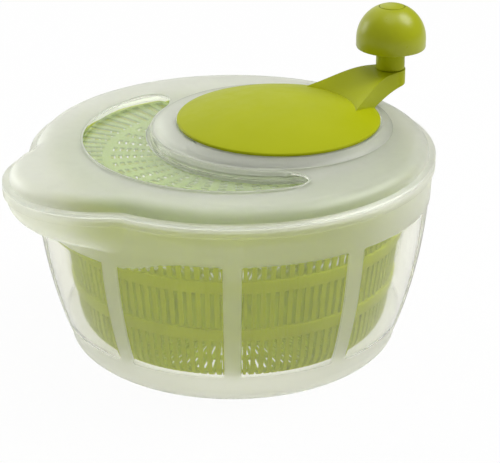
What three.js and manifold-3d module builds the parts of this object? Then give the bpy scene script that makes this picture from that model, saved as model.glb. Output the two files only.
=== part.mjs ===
// Salad spinner with an eccentric crank: a bowl with a pouring spout, a slotted basket on a pivot,
// a lid that carries the drive, and a crank whose ring gear turns a pinion on the lid's axis.
// Millimetres. +Z is up, the origin is the centre of the bowl's base, and the spout points along -X.
import * as THREE from "three";
import { mergeVertices } from "three/addons/utils/BufferGeometryUtils.js";
import Module from "manifold-3d";

const wasm = await Module();
wasm.setup();

// ---------------------------------------------------------------- driving dimensions

const rimRadius = 125; // outer edge of the bowl's rim and of the lid's flange
const bowlHeight = 128; // top of the bowl's rim
const fitGap = 0.3; // running or seating gap between two pieces

// Pouring spout: a round lobe that swells out of the rim.
const spoutRadius = 60;
const spoutReach = 25; // how far the spout's nose stands out past the round rim
const spoutDepth = 25; // how far below the rim the spout fades into the wall
const spoutBlend = 7; // softness of the hollow where the spout meets the round rim

// Bowl.
const bowlWall = 2.2;
const bowlFloor = 2.4;
const rimLipHeight = 5.6;
const rimLipStand = 1.8; // how far the lip stands out past the wall below it
const rimLipWall = 3.2;
const baseRadius = 70;
const footRadius = 103.3; // wall radius at the top of the rounded foot
const footHeight = 15;
const wallBulge = 5;
const pivotPinRadius = 3;
const pivotBossWall = 5;
const pivotBossHeight = 7;

// Basket.
const basketSideGap = 13.5; // from the bowl's rim edge to the basket's rim
const basketFootGap = 5.5; // between the walls at the foot
const basketTopDrop = 4.5; // basket rim below the bowl's rim
const basketWall = 2;
const basketRimWidth = 3;
const basketRimHeight = 3;
const basketFloorHeight = 16.5;
const basketCorner = 6; // height of the rounded corner
const basketFloorInset = 13.6; // from the wall's foot to the flat floor
const basketTopBand = 11.5; // solid band above the slots
const hoopHeight = 8.7; // solid hoops between the rows of slots
const basketSlotCount = 30;
const pivotRise = 7.5; // top of the pivot pin above the basket's floor
const slotShare = 0.55; // slot width as a share of the slot pitch
const driveLugCount = 4;
const driveLugWidth = 10;

// Lid.
const lidRise = 10; // lid top above the bowl's rim
const flangeHeight = 1.8;
const flangeWidth = 4;
const shoulderInset = 14; // from the flange edge to the flat top
const lidWall = 2;
const skirtDepth = 3.8;
const skirtWall = 1.8;

// Window in the lid: a crescent round the spout side of the crank.
const windowBorder = 18.5; // frosted flat between the window and the lid's shoulder
const windowRecess = 4;
const windowEndAngle = 93;
const windowEndRound = 9;
const windowInnerGap = 0.6; // from the gear well's wall to the window

// Gear train: an internal ring gear on the crank drives a pinion on the lid's axis.
const gearModule = 1.5;
const ringTeeth = 60;
const pinionTeeth = 15;
const pressureAngle = (20 * Math.PI) / 180;
const toothGap = 0.3; // play between the flanks, along the pitch circle
const gearWidth = 8;
const ringGearRim = 7; // ring gear's body outside the roots
const underGear = 2.5; // space for the screw heads and the bush
const overGear = 0.7;

// Gear well under the crank, set a little nearer to the lid's axis than the crank is.
const wellShift = 4.25;
const wellMargin = 11.7; // from the disc's edge to the outside of the well
const wellWall = 2;
const wellFloor = 2;
const bezelLedge = 0.6; // from the bezel's edge to the outside of the well
const bezelGap = 0.8; // round the disc's edge

// Crank.
const discMargin = 9.6; // disc outside the ring gear
const domeHeight = 11;
const discWall = 2.4;
const discEdge = 1.8;
const crankRadius = 85; // knob axis from the crank axis
const armRootInset = 16; // from the disc's edge to the crease where the arm starts
const armRootHalfWidth = 28;
const armEndRadius = 9.8;
const armRise = 12.1; // arm's top at the knob above the dome at the arm's root
const armDepth = 9.3;
const armRiseLength = 30;
const gearScrewCount = 3;
const screwBossRadius = 4;

// Knob.
const knobRadius = 22.25;
const knobSkirt = 6;
const knobCrown = 22.5;
const stemRadius = 9.2;
const stemLength = 13.6;
const knobPlugRadius = 8;
const knobPlugDepth = 6;
const knobPinRadius = 3;
const pinHeadWidth = 2.5;

// Shafts and fasteners.
const shaftRadius = 5.3;
const bushWall = 2.1;
const crankAxleRadius = 5;
const axleBossWall = 3.7;
const axleBossHeight = 6;
const washerSpace = 1;
const clipThickness = 1;
const gearScrewBore = 1.6;
const driveScrewRadius = 2.2;
const washerThickness = 1.2;

// Drive plate.
const plateEdgeGap = 1.5; // inside the basket's rim
const plateThickness = 2.5;
const plateDrop = 3.5; // below the well's floor
const plateSlotLength = 25;
const plateHoopWidth = 5.5;
const plateSlotCount = 30;
const hubWall = 4.1;
const hubFlangeWidth = 8.3;
const hubFlangeThickness = 2.5;

// ---------------------------------------------------------------- derived levels

const deg = Math.PI / 180;
const lidTop = bowlHeight + lidRise;
const flangeBottom = bowlHeight + fitGap;
const flangeTop = flangeBottom + flangeHeight;
const wellBottom = bowlHeight;
const wellTop = wellBottom + wellFloor;

// Gear train and crank, from the well's floor upwards and from the gear outwards.
const crankOffset = (gearModule * (ringTeeth - pinionTeeth)) / 2;
const ringPitch = (gearModule * ringTeeth) / 2;
const pinionPitch = (gearModule * pinionTeeth) / 2;
const dedendum = 1.25 * gearModule;
const ringGearRadius = ringPitch + dedendum + ringGearRim;
const gearBottom = wellTop + underGear;
const gearTop = gearBottom + gearWidth;
const discBottom = gearTop + overGear;
const discTop = discBottom + discEdge;
const discRadius = ringGearRadius + discMargin;
const wellOffset = crankOffset - wellShift;
const wellRadius = discRadius + wellMargin;
const bezelRadius = wellRadius - bezelLedge;
const windowRadius = rimRadius - shoulderInset - windowBorder;
const armRootRadius = discRadius - armRootInset;
const armRootAlong = Math.sqrt(armRootRadius ** 2 - armRootHalfWidth ** 2);
const knobAxisX = crankOffset + crankRadius;
const domeTopAt = (r) => discTop + domeHeight * (1 - (r / discRadius) ** 2);
const armTop = domeTopAt(armRootRadius) + armRise;
const stemBottom = armTop + fitGap;
const knobBottom = stemBottom + stemLength + fitGap;
const knobTop = knobBottom + knobSkirt + knobCrown;
const knobPlugBottom = knobTop - knobPlugDepth;
const pinHeadRadius = knobPinRadius + pinHeadWidth;
const pinHeadBottom = knobBottom + 4;
const knobPinBottom = armTop - armDepth + 2;
const bossRadius = crankAxleRadius + fitGap + axleBossWall;
const crankBossTop = wellTop + axleBossHeight;
const axleTop = domeTopAt(0) - discWall - 4.6;

// Drive plate and its hub, hung under the well's floor.
const bushRadius = shaftRadius + fitGap + bushWall;
const hubNeckRadius = shaftRadius + fitGap + hubWall;
const hubFlangeRadius = hubNeckRadius + hubFlangeWidth;
const plateTop = wellBottom - plateDrop;
const plateBottom = plateTop - plateThickness;
const hubBottom = plateBottom - fitGap - hubFlangeThickness;
const driveScrewTop = wellTop + 1;

// Basket.
const basketTop = bowlHeight - basketTopDrop;
const basketRimRadius = rimRadius - basketSideGap;
const basketRimInner = basketRimRadius - basketRimWidth;
const basketFootRadius = footRadius - bowlWall - basketFootGap;
const plateRadius = basketRimInner - plateEdgeGap;
const pivotPinTop = basketFloorHeight + pivotRise;

// ---------------------------------------------------------------- mesh helpers

// Merges shared vertices and drops the slivers that meet the axis in one point.
function weld(geometry) {
  const bare = new THREE.BufferGeometry();
  bare.setAttribute("position", geometry.getAttribute("position"));
  if (geometry.index) bare.setIndex(geometry.index);
  const merged = mergeVertices(bare, 1e-4);
  const from = merged.index.array;
  const kept = [];
  for (let i = 0; i < from.length; i += 3) {
    const [a, b, c] = [from[i], from[i + 1], from[i + 2]];
    if (a !== b && b !== c && c !== a) kept.push(a, b, c);
  }
  merged.setIndex(kept);
  return merged;
}

function solid(geometry) {
  const merged = weld(geometry);
  return new wasm.Manifold(
    new wasm.Mesh({
      numProp: 3,
      vertProperties: new Float32Array(merged.getAttribute("position").array),
      triVerts: new Uint32Array(merged.index.array),
    }),
  );
}

function geometryOf(manifold) {
  const mesh = manifold.getMesh();
  const geometry = new THREE.BufferGeometry();
  geometry.setAttribute("position", new THREE.BufferAttribute(new Float32Array(mesh.vertProperties), 3));
  geometry.setIndex([...mesh.triVerts]);
  geometry.computeVertexNormals();
  return geometry;
}

const join = (first, ...rest) => rest.reduce((whole, piece) => whole.add(piece), first);
const cut = (first, ...rest) => rest.reduce((whole, piece) => whole.subtract(piece), first);

// Volume under the faces, which is negative when they point inwards.
function signedVolume(geometry) {
  const p = geometry.getAttribute("position");
  const index = geometry.index.array;
  const [a, b, c] = [new THREE.Vector3(), new THREE.Vector3(), new THREE.Vector3()];
  let six = 0;
  for (let i = 0; i < index.length; i += 3) {
    a.fromBufferAttribute(p, index[i]);
    b.fromBufferAttribute(p, index[i + 1]);
    c.fromBufferAttribute(p, index[i + 2]);
    six += a.dot(b.cross(c));
  }
  return six;
}

// A body turned round the vertical axis through (x, 0), from a closed profile of [radius, height].
function turned(profile, { x = 0, segments = 48 } = {}) {
  const points = [...profile, profile[0]].map(([r, z]) => new THREE.Vector2(r, z));
  const geometry = weld(new THREE.LatheGeometry(points, segments));
  geometry.rotateX(Math.PI / 2);
  geometry.translate(x, 0, 0);
  if (signedVolume(geometry) < 0) geometry.setIndex([...geometry.index.array].reverse());
  return solid(geometry);
}

const disc = (radius, low, high, options) =>
  turned([[0, low], [radius, low], [radius, high], [0, high]], options);

const tube = (inner, outer, low, high, options) =>
  turned([[inner, low], [outer, low], [outer, high], [inner, high]], options);

// An upright prism over a plan outline of [x, y] points.
function prism(outline, low, high) {
  const shape = new THREE.Shape(outline.map(([x, y]) => new THREE.Vector2(x, y)));
  const geometry = new THREE.ExtrudeGeometry(shape, { depth: high - low, bevelEnabled: false });
  geometry.translate(0, 0, low);
  return solid(geometry);
}

// A closed skin over rings of [x, y, z] points, from one capped end to the other.
function skin(rings) {
  const position = [];
  const index = [];
  const size = rings[0].length;
  const add = (p) => position.push(...p) / 3 - 1;
  for (const ring of rings) ring.forEach(add);
  const centreOf = (ring) => [0, 1, 2].map((k) => ring.reduce((sum, p) => sum + p[k], 0) / size);
  rings.slice(1).forEach((_, row) => {
    for (let i = 0; i < size; i += 1) {
      const next = (i + 1) % size;
      const [a, b] = [row * size + i, row * size + next];
      index.push(a, b, b + size, a, b + size, a + size);
    }
  });
  const start = add(centreOf(rings[0]));
  const end = add(centreOf(rings[rings.length - 1]));
  const last = (rings.length - 1) * size;
  for (let i = 0; i < size; i += 1) {
    const next = (i + 1) % size;
    index.push(start, next, i, end, last + i, last + next);
  }
  const geometry = new THREE.BufferGeometry();
  geometry.setAttribute("position", new THREE.Float32BufferAttribute(position, 3));
  geometry.setIndex(index);
  if (signedVolume(geometry) < 0) geometry.setIndex(index.reverse());
  return solid(geometry);
}

// A turned wall with slots. Each profile entry pairs an outer and an inner [radius, height];
// the rows in open have a slot in every other column.
function lattice(pairs, open, count, share) {
  const columns = 2 * count;
  const pitch = (2 * Math.PI) / count;
  const angleAt = (column) => (Math.floor(column / 2) + (column % 2 ? share : 0)) * pitch;
  const isOpen = (row, column) => open.has(row) && column % 2 === 0;
  const point = ([r, z], column) => {
    const a = angleAt(column % columns);
    return [r * Math.cos(a), r * Math.sin(a), z];
  };
  const triangles = [];
  const quad = (a, b, c, d) => triangles.push(...a, ...b, ...c, ...a, ...c, ...d);
  const rows = pairs.length - 1;
  for (let column = 0; column < columns; column += 1) {
    const before = (column + columns - 1) % columns;
    for (let row = 0; row < rows; row += 1) {
      const [upOut, upIn] = pairs[row].map((p) => point(p, column));
      const [downOut, downIn] = pairs[row + 1].map((p) => point(p, column));
      if (!isOpen(row, column)) {
        const [upOutNext, upInNext] = pairs[row].map((p) => point(p, column + 1));
        const [downOutNext, downInNext] = pairs[row + 1].map((p) => point(p, column + 1));
        quad(upOut, downOut, downOutNext, upOutNext);
        quad(upIn, upInNext, downInNext, downIn);
      }
      if (isOpen(row, column) && !isOpen(row, before)) quad(upOut, downOut, downIn, upIn);
      if (!isOpen(row, column) && isOpen(row, before)) quad(upOut, upIn, downIn, downOut);
    }
    for (let edge = 0; edge <= rows; edge += 1) {
      const above = edge > 0 && !isOpen(edge - 1, column);
      const below = edge < rows && !isOpen(edge, column);
      if (above === below) continue;
      const [out, inner] = pairs[edge].map((p) => point(p, column));
      const [outNext, innerNext] = pairs[edge].map((p) => point(p, column + 1));
      if (below) quad(out, outNext, innerNext, inner);
      else quad(out, inner, innerNext, outNext);
    }
  }
  const geometry = new THREE.BufferGeometry();
  geometry.setAttribute("position", new THREE.Float32BufferAttribute(triangles, 3));
  const merged = weld(geometry);
  if (signedVolume(merged) < 0) merged.setIndex([...merged.index.array].reverse());
  return solid(merged);
}

// ---------------------------------------------------------------- shared shapes

// Plan angles round the rim, finer over the spout, measured from the spout's direction.
function rimAngles() {
  const angles = [];
  const spoutHalf = 42;
  const spoutSteps = 20;
  const roundSteps = 30;
  for (let i = 0; i < spoutSteps; i += 1) {
    angles.push((-spoutHalf + (2 * spoutHalf * i) / spoutSteps) * deg);
  }
  for (let i = 0; i < roundSteps; i += 1) {
    angles.push((spoutHalf + ((360 - 2 * spoutHalf) * i) / roundSteps) * deg);
  }
  return angles;
}

// Larger of two lengths, with a soft change over the blend.
function softMax(a, b, blend) {
  const h = Math.max(blend - Math.abs(a - b), 0) / blend;
  return Math.max(a, b) + (h * h * blend) / 4;
}

// Distance from the axis to a rim-shaped outline: a circle with the spout's lobe on one side.
function outlineRadius(angle, circle, nose, lobe) {
  const centre = nose - lobe;
  const under = lobe * lobe - (centre * Math.sin(angle)) ** 2;
  const reach = centre * Math.cos(angle) + Math.sqrt(Math.max(under, 0));
  const ahead = Math.cos(angle) > 0 ? reach : 0;
  return softMax(circle, ahead, Math.min(spoutBlend, Math.max(nose - circle, 0.01)));
}

// One ring of the rim's outline, moved in by an inset, at a height.
function rimRing(inset, z) {
  const circle = rimRadius - inset;
  const nose = rimRadius + spoutReach - inset;
  const lobe = Math.max(spoutRadius - inset, 20);
  return ringAt((angle) => outlineRadius(angle, circle, nose, lobe), z);
}

function ringAt(radiusAt, z) {
  return rimAngles().map((angle) => {
    const r = radiusAt(angle);
    return [-r * Math.cos(angle), -r * Math.sin(angle), z];
  });
}

// Outer radius of the bowl's wall at a height above the foot.
const wallTopHeight = bowlHeight - rimLipHeight - 0.4;
function wallRadius(z) {
  const t = (z - footHeight) / (wallTopHeight - footHeight);
  const top = rimRadius - rimLipStand;
  return footRadius + (top - footRadius) * t + 4 * wallBulge * t * (1 - t);
}

// Depth below the rim, 0 at the lip and 1 where the spout has faded into the wall.
function spoutFade(z) {
  const low = bowlHeight - spoutDepth;
  return Math.min(Math.max((wallTopHeight - z) / (wallTopHeight - low), 0), 1);
}

// One ring of the bowl's wall, with the spout's hollow swelling out of it near the rim.
function wallRing(z, thickness) {
  const circle = wallRadius(z) - thickness;
  const swell = (spoutReach - rimLipStand) * Math.sqrt(1 - spoutFade(z) ** 2);
  const nose = rimRadius + swell - thickness;
  const lobe = spoutRadius - rimLipStand - thickness;
  const inside = spoutFade(z) >= 1;
  return ringAt((angle) => (inside ? circle : outlineRadius(angle, circle, nose, lobe)), z);
}

// ---------------------------------------------------------------- bowl

// Heights of the wall's rings: even below the spout, and round the spout's hollow above.
function wallLevels() {
  const low = bowlHeight - spoutDepth;
  const even = [0.1, 0.35, 0.65, 1].map((t) => footHeight + (low - footHeight) * t);
  const hollow = [25, 50, 72, 90].map((a) => wallTopHeight - (wallTopHeight - low) * Math.cos(a * deg));
  return [...even, ...hollow];
}

// Rounded foot between the flat base and the wall, as a quarter of an ellipse.
function footRings(sideWall, floor) {
  return [0, 30, 60, 90].map((a) => {
    const r = baseRadius + (footRadius - sideWall - baseRadius) * Math.sin(a * deg);
    return ringAt(() => r, footHeight - (footHeight - floor) * Math.cos(a * deg));
  });
}

function bowl() {
  const levels = wallLevels();
  const outer = [
    ...footRings(0, 0),
    ...levels.map((z) => wallRing(z, 0)),
    rimRing(0, bowlHeight - rimLipHeight),
    rimRing(0, bowlHeight - 0.6),
    rimRing(0.6, bowlHeight),
  ];
  const inner = [
    rimRing(rimLipWall, bowlHeight),
    rimRing(rimLipWall, bowlHeight - rimLipHeight + 1),
    ...levels.toReversed().map((z) => wallRing(z, bowlWall)),
    ...footRings(bowlWall, bowlFloor).toReversed(),
  ];
  const shell = skin([...outer, ...inner]);
  const bossTop = bowlFloor + pivotBossHeight;
  const boss = disc(pivotPinRadius + pivotBossWall, bowlFloor - 1, bossTop, { segments: 24 });
  const bore = disc(pivotPinRadius + fitGap, bowlFloor + 1, bossTop + 1, { segments: 20 });
  return shell.add(boss).subtract(bore);
}

function pivotPin() {
  const low = bowlFloor + 1 + fitGap;
  const r = pivotPinRadius;
  return turned([[0, low], [r, low], [r, pivotPinTop - 2], [r - 1.6, pivotPinTop], [0, pivotPinTop]], {
    segments: 20,
  });
}

// ---------------------------------------------------------------- basket

// Outer radius of the basket's wall, which flares evenly from the floor's corner to the rim.
function basketRadius(z) {
  const t = (z - basketFloorHeight) / (basketTop - basketFloorHeight);
  return basketFootRadius + (basketRimRadius - 0.7 - basketFootRadius) * t;
}

function basket() {
  const floor = basketFloorHeight;
  const slotsTop = basketTop - basketTopBand;
  const slotsBottom = floor + basketCorner;
  const row = (slotsTop - slotsBottom - 2 * hoopHeight) / 3;
  const wallPair = (z) => [[basketRadius(z), z], [basketRadius(z) - basketWall, z]];
  const floorPair = (r) => [[r, floor], [r, floor + basketWall]];
  const corner = basketRadius(slotsBottom) - 4;
  const socket = pivotPinRadius + 2 * fitGap;
  const pairs = [
    [[basketRimRadius, basketTop], [basketRimInner, basketTop]],
    [[basketRimRadius, basketTop - basketRimHeight], [basketRimInner, basketTop - basketRimHeight]],
    wallPair(slotsTop),
    wallPair(slotsTop - row),
    wallPair(slotsTop - row - hoopHeight),
    wallPair(slotsTop - 2 * row - hoopHeight),
    wallPair(slotsTop - 2 * row - 2 * hoopHeight),
    wallPair(slotsBottom + row * 0.4),
    [[corner, slotsBottom], [corner - basketWall, slotsBottom + 1]],
    floorPair(basketFootRadius - basketFloorInset),
    floorPair(34),
    [[socket + 0.9, floor], [socket + 8.4, floor + basketWall]],
    [[socket, pivotPinTop + fitGap], [socket + 4.4, pivotPinTop + 2]],
    [[0, pivotPinTop + fitGap], [0, pivotPinTop + 3.5]],
  ];
  const open = new Set([2, 4, 6, 7, 9]);
  const body = lattice(pairs, open, basketSlotCount, slotShare);
  return cut(body, ...lugBoxes(driveLugWidth + 2, basketTop - 2.2, basketTop + 1, basketRimRadius + 2));
}

// Boxes that stand across the basket's rim, one for each drive lug.
function lugBoxes(width, low, high, outer) {
  const inner = plateRadius - 3;
  return Array.from({ length: driveLugCount }, (_, i) => {
    const box = new THREE.BoxGeometry(outer - inner, width, high - low);
    box.translate((outer + inner) / 2, 0, (high + low) / 2);
    box.rotateZ(((i + 0.5) * 2 * Math.PI) / driveLugCount);
    return solid(box);
  });
}

// ---------------------------------------------------------------- lid

// Outline of the crescent window: lid circle outside, gear well's circle inside, round ends.
function windowOutline(grow) {
  const outer = [];
  const inner = [];
  const steps = 24;
  const end = windowEndAngle + grow / windowRadius / deg;
  for (let i = 0; i <= steps; i += 1) {
    const angle = end * Math.sin(((i / steps) * 2 - 1) * (Math.PI / 2)) * deg;
    const wide = wellRadius + windowInnerGap - grow;
    const near = -wellOffset * Math.cos(angle) + Math.sqrt(wide ** 2 - (wellOffset * Math.sin(angle)) ** 2);
    const far = windowRadius + grow;
    const over = Math.max(Math.abs(angle) / deg - (end - windowEndRound), 0) / windowEndRound;
    const half = ((far - near) / 2) * Math.sqrt(Math.max(1 - over ** 2, 0));
    const middle = (far + near) / 2;
    const place = (r) => [-r * Math.cos(angle), -r * Math.sin(angle)];
    outer.push(place(middle + half));
    if (i > 0 && i < steps) inner.push(place(middle - half));
  }
  return [...outer, ...inner.reverse()];
}

// Rings of the lid's curved wall, a quarter of an ellipse from the flange up to the flat top.
function lidWallRings(thickness) {
  const width = shoulderInset - flangeWidth - thickness;
  const height = lidTop - flangeTop - thickness;
  return [0, 30, 60, 90].map((a) =>
    rimRing(shoulderInset - width * Math.cos(a * deg), flangeTop + height * Math.sin(a * deg)));
}

// The lid's ceiling, wall, skirt and flange, from under the middle round to the top.
function lidCrown() {
  const skirtOuter = rimLipWall + fitGap;
  const skirtInner = skirtOuter + skirtWall;
  return skin([
    ...lidWallRings(lidWall).toReversed(),
    rimRing(skirtInner, flangeBottom),
    rimRing(skirtInner, flangeBottom - skirtDepth),
    rimRing(skirtOuter, flangeBottom - skirtDepth),
    rimRing(skirtOuter, flangeBottom),
    rimRing(0, flangeBottom),
    rimRing(0, flangeTop - 0.5),
    rimRing(0.6, flangeTop),
    ...lidWallRings(0),
  ]);
}

function lidShell() {
  const hub = { x: wellOffset, segments: 60 };
  const paneTop = lidTop - windowRecess;
  const well = disc(wellRadius, wellBottom, lidTop - 0.5, hub);
  const tray = prism(windowOutline(lidWall), paneTop - lidWall, lidTop - 0.5);
  const boss = disc(bossRadius, wellBottom + 0.5, crankBossTop, { x: crankOffset, segments: 24 });
  const hollow = cut(
    join(lidCrown(), well, tray),
    disc(wellRadius - wellWall, wellTop, lidTop + 1, hub),
    prism(windowOutline(0), paneTop, lidTop + 1),
  );
  const axleBore = disc(crankAxleRadius + fitGap, wellBottom - 1, lidTop, { x: crankOffset, segments: 24 });
  const bushBore = disc(bushRadius + fitGap, wellBottom - 1, lidTop, { segments: 24 });
  return cut(hollow.add(boss), axleBore, bushBore);
}

// Ring that closes the well and frames the crank's disc, with a spigot inside the well's wall.
function bezelRing() {
  const spigot = wellRadius - wellWall - fitGap;
  const seat = lidTop + fitGap;
  const inner = discRadius - wellShift - 2;
  const profile = [
    [inner, discBottom - 1.6],
    [inner, discBottom],
    [bezelRadius - 6, discBottom - 0.4],
    [bezelRadius - 1.2, seat + 1],
    [bezelRadius, seat],
    [spigot, seat],
    [spigot, seat - 4],
    [spigot - wellWall, seat - 4],
    [spigot - wellWall, discBottom - 1.6],
  ];
  const ring = turned(profile, { x: wellOffset, segments: 60 });
  return cut(ring, disc(discRadius + bezelGap, seat - 5, discTop + 1, { x: crankOffset, segments: 60 }));
}

function pinionBush() {
  const bore = shaftRadius + fitGap;
  const flange = wellTop + fitGap;
  const profile = [
    [bore, wellBottom - 1],
    [bushRadius, wellBottom - 1],
    [bushRadius, flange],
    [bushRadius + 2.3, flange],
    [bushRadius + 2.3, flange + 1.2],
    [bore, flange + 1.2],
  ];
  return turned(profile, { segments: 32 });
}

// ---------------------------------------------------------------- gears

const involute = (angle) => Math.tan(angle) - angle;

// Outline of an external gear; as a hole it is an internal gear with the spaces as its teeth.
function gearOutline({ teeth, tip, root, play, steps }) {
  const pitch = (gearModule * teeth) / 2;
  const base = pitch * Math.cos(pressureAngle);
  const halfAtPitch = (Math.PI * gearModule) / 2 / 2 / pitch + play / pitch / 2;
  const halfAt = (r) => {
    const slope = Math.acos(Math.min(base / Math.max(r, base), 1));
    return halfAtPitch + involute(pressureAngle) - involute(slope);
  };
  const flank = Array.from({ length: steps + 1 }, (_, i) => root + ((tip - root) * i) / steps);
  const outline = [];
  for (let tooth = 0; tooth < teeth; tooth += 1) {
    const middle = Math.PI + (tooth * 2 * Math.PI) / teeth;
    const place = (r, angle) => [r * Math.cos(angle), r * Math.sin(angle)];
    flank.forEach((r) => outline.push(place(r, middle - halfAt(r))));
    [...flank].reverse().forEach((r) => outline.push(place(r, middle + halfAt(r))));
  }
  return outline;
}

function ringGear() {
  const outline = gearOutline({
    teeth: ringTeeth,
    tip: ringPitch + dedendum,
    root: ringPitch - 0.75 * gearModule,
    play: toothGap / 2,
    steps: 1,
  });
  const body = disc(ringGearRadius, gearBottom, gearTop, { segments: 60 });
  const holes = gearScrewPlaces(0).map(([x, y]) =>
    disc(gearScrewBore, gearBottom - 1, gearTop + 1, { segments: 12 }).translate([x, y, 0]));
  return cut(body, prism(outline, gearBottom - 1, gearTop + 1), ...holes).translate([crankOffset, 0, 0]);
}

function gearScrewPlaces(x) {
  const r = ringGearRadius - ringGearRim / 2;
  return Array.from({ length: gearScrewCount }, (_, i) => {
    const angle = ((i + 0.5) * 2 * Math.PI) / gearScrewCount;
    return [x + r * Math.cos(angle), r * Math.sin(angle)];
  });
}

function gearScrew([x, y]) {
  const head = gearBottom - fitGap;
  const profile = [
    [0, head - 1.5],
    [gearScrewBore + 1.2, head - 1.5],
    [gearScrewBore + 1.2, head],
    [gearScrewBore - fitGap, head],
    [gearScrewBore - fitGap, gearTop + 3.5],
    [0, gearTop + 3.5],
  ];
  return turned(profile, { segments: 12 }).translate([x, y, 0]);
}

function pinionGear() {
  const outline = gearOutline({
    teeth: pinionTeeth,
    tip: pinionPitch + gearModule,
    root: pinionPitch - dedendum,
    play: -toothGap / 2,
    steps: 3,
  });
  const teeth = prism(outline, gearBottom, gearTop);
  const shaft = disc(shaftRadius, hubBottom, gearBottom + 1, { segments: 32 });
  const bore = disc(driveScrewRadius + fitGap, hubBottom - 1, driveScrewTop + fitGap, { segments: 16 });
  return teeth.add(shaft).subtract(bore);
}

// ---------------------------------------------------------------- drive plate

function driveHub() {
  const bore = shaftRadius + fitGap;
  const profile = [
    [bore, hubBottom],
    [hubFlangeRadius, hubBottom],
    [hubFlangeRadius, plateBottom - fitGap],
    [hubNeckRadius, plateBottom - fitGap],
    [hubNeckRadius, plateTop + 1.9],
    [bore, plateTop + 1.9],
  ];
  return turned(profile, { segments: 36 });
}

// Perforated disc that covers the basket: slots round the edge and rows of holes inside.
function drivePlate() {
  const pair = (r) => [[r, plateTop], [r, plateBottom]];
  const edge = plateRadius - 1.5;
  const hoop = edge - plateSlotLength;
  const middle = hubFlangeRadius + 12;
  const rings = [plateRadius, edge, hoop, hoop - plateHoopWidth, middle, hubNeckRadius + fitGap];
  const body = lattice(rings.map(pair), new Set([1, 3]), plateSlotCount, slotShare);
  const lugs = lugBoxes(driveLugWidth, plateBottom + 0.2, plateTop - 0.2, basketRimRadius - 1.2);
  return join(body, ...lugs);
}

function thrustWasher() {
  const top = hubBottom - fitGap;
  return tube(driveScrewRadius + fitGap, hubNeckRadius, top - washerThickness, top, { segments: 32 });
}

function driveScrew() {
  const seat = hubBottom - 2 * fitGap - washerThickness;
  const profile = [
    [0, seat - 2.4],
    [driveScrewRadius + 2.4, seat - 2.4],
    [driveScrewRadius + 2.4, seat],
    [driveScrewRadius, seat],
    [driveScrewRadius, driveScrewTop],
    [0, driveScrewTop],
  ];
  return turned(profile, { segments: 20 });
}

// ---------------------------------------------------------------- crank

// Plan outline of the arm about the crank axis: wide at the root, round at the knob.
function armPlan() {
  const side = new THREE.QuadraticBezierCurve(
    new THREE.Vector2(armRootAlong, armRootHalfWidth),
    new THREE.Vector2(armRootAlong + 0.62 * (crankRadius - armRootAlong), armEndRadius + 3.7),
    new THREE.Vector2(crankRadius, armEndRadius),
  );
  const upper = side.getPoints(6).map((p) => [p.x, p.y]);
  const end = [];
  for (let a = 72; a >= -72; a -= 18) {
    end.push([crankRadius + armEndRadius * Math.cos(a * deg), armEndRadius * Math.sin(a * deg)]);
  }
  const lower = upper.map(([x, y]) => [x, -y]).reverse();
  return [...upper, ...end, ...lower].map(([x, y]) => [x + crankOffset, y]);
}

// The arm's top and underside are turned about the crank axis, and its sides are upright.
function crankArm() {
  const rise = (r, from, length) => Math.sin(Math.min(Math.max((r - from) / length, 0), 1) * (Math.PI / 2));
  const reach = crankRadius + armEndRadius + 3;
  const start = armRootRadius - 4;
  const top = [[start, domeTopAt(start) - 1.2]];
  for (let r = armRootRadius; r < armRootRadius + armRiseLength; r += 5) {
    top.push([r, domeTopAt(armRootRadius) + armRise * rise(r, armRootRadius, armRiseLength)]);
  }
  top.push([armRootRadius + armRiseLength, armTop], [reach, armTop]);
  const under = [[start, domeTopAt(start) - discWall + 0.2], [discRadius - 2, discTop - 1]];
  for (let r = discRadius - 0.5; r < reach - 3; r += 7) {
    under.push([r, discTop + (armTop - armDepth - discTop) * rise(r, discRadius, reach - discRadius)]);
  }
  under.push([reach, armTop - armDepth]);
  const swept = turned([...top, ...under.reverse()], { x: crankOffset, segments: 48 });
  return swept.intersect(prism(armPlan(), discBottom, armTop + 1));
}

function crankCover() {
  const steps = 5;
  const edge = discRadius - 0.6;
  const outer = Array.from({ length: steps + 1 }, (_, i) => {
    const r = (edge * i) / steps;
    return [r, domeTopAt(r)];
  });
  const innerEdge = discRadius - discWall;
  const inner = Array.from({ length: steps + 1 }, (_, i) => {
    const r = innerEdge * (1 - i / steps);
    return [r, domeTopAt(r) - discWall];
  });
  const rim = [[discRadius, discTop - 0.4], [discRadius, discBottom], [innerEdge, discBottom]];
  const profile = [...outer, ...rim, ...inner];
  const shell = turned(profile, { x: crankOffset, segments: 48 });
  const hub = { x: crankOffset, segments: 24 };
  const boss = disc(bossRadius, crankBossTop + washerSpace, domeTopAt(0) - 1, hub);
  const screwBosses = gearScrewPlaces(crankOffset).map(([x, y]) =>
    disc(screwBossRadius, gearTop + fitGap, domeTopAt(ringGearRadius) - 1, { segments: 16 })
      .translate([x, y, 0]));
  const screwBores = gearScrewPlaces(crankOffset).map(([x, y]) =>
    disc(gearScrewBore, gearTop - 1, gearTop + 3.8, { segments: 12 }).translate([x, y, 0]));
  const axleBore = disc(crankAxleRadius + fitGap, crankBossTop, axleTop + fitGap, hub);
  const pin = { x: knobAxisX, segments: 20 };
  const pinBore = disc(knobPinRadius + fitGap, knobPinBottom - fitGap, armTop + 1, pin);
  return cut(join(shell, boss, ...screwBosses, crankArm()), ...screwBores, axleBore, pinBore);
}

// Axle fixed in the crank's boss, with a groove for the clip under the well's floor.
function crankAxle() {
  const r = crankAxleRadius;
  const groove = wellBottom - 0.5;
  const grooveEnd = groove - clipThickness - 0.6;
  const profile = [
    [0, axleTop],
    [r, axleTop],
    [r, groove],
    [r - 1.4, groove],
    [r - 1.4, grooveEnd],
    [r, grooveEnd],
    [r, grooveEnd - 0.8],
    [0, grooveEnd - 0.8],
  ];
  return turned(profile, { x: crankOffset, segments: 24 });
}

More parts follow.
